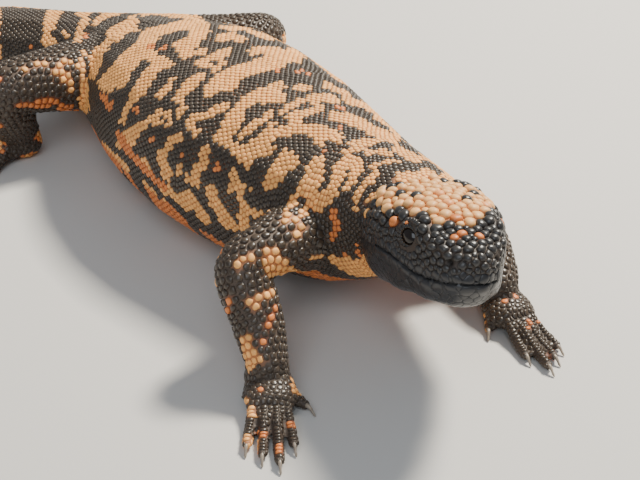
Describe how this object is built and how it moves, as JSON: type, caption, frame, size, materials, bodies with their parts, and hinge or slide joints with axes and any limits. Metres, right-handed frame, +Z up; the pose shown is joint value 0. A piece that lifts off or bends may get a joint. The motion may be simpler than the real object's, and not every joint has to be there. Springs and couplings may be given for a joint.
{
  "type": "gila monster lizard",
  "caption": "Heavy-bodied beaded lizard standing on sprawled legs, head raised and turned to its right, thick tail bent to one side and laid on the floor.",
  "frame": {"origin": "on the floor, on the belly's flat under the middle of the trunk", "axes": "-Y the way the animal faces, +X its left side, +Z up"},
  "size_m": [0.2497, 0.4365, 0.0778],
  "materials": {
    "scaled_skin": "satin",
    "banded_skin": "satin",
    "horn": "satin",
    "wet_eye": "gloss"
  },
  "bodies": {
    "root": {"head": "scaled_skin", "lower_jaw": "scaled_skin", "neck": "scaled_skin", "trunk": "banded_skin", "tail_root": "banded_skin", "tail_end": "banded_skin", "upper_arm_left": "scaled_skin", "upper_arm_right": "scaled_skin", "forearm_left": "scaled_skin", "forearm_right": "scaled_skin", "hand_left": "scaled_skin", "hand_right": "scaled_skin", "thigh_left": "scaled_skin", "thigh_right": "scaled_skin", "shin_left": "scaled_skin", "shin_right": "scaled_skin", "foot_left": "scaled_skin", "foot_right": "scaled_skin", "claw_front_left_1": "horn", "claw_front_left_2": "horn", "claw_front_left_3": "horn", "claw_front_left_4": "horn", "claw_front_left_5": "horn", "claw_front_right_1": "horn", "claw_front_right_2": "horn", "claw_front_right_3": "horn", "claw_front_right_4": "horn", "claw_front_right_5": "horn", "claw_hind_left_1": "horn", "claw_hind_left_2": "horn", "claw_hind_left_3": "horn", "claw_hind_left_4": "horn", "claw_hind_left_5": "horn", "claw_hind_right_1": "horn", "claw_hind_right_2": "horn", "claw_hind_right_3": "horn", "claw_hind_right_4": "horn", "claw_hind_right_5": "horn", "eye_left": "wet_eye", "eye_right": "wet_eye"}
  },
  "joints": []
}
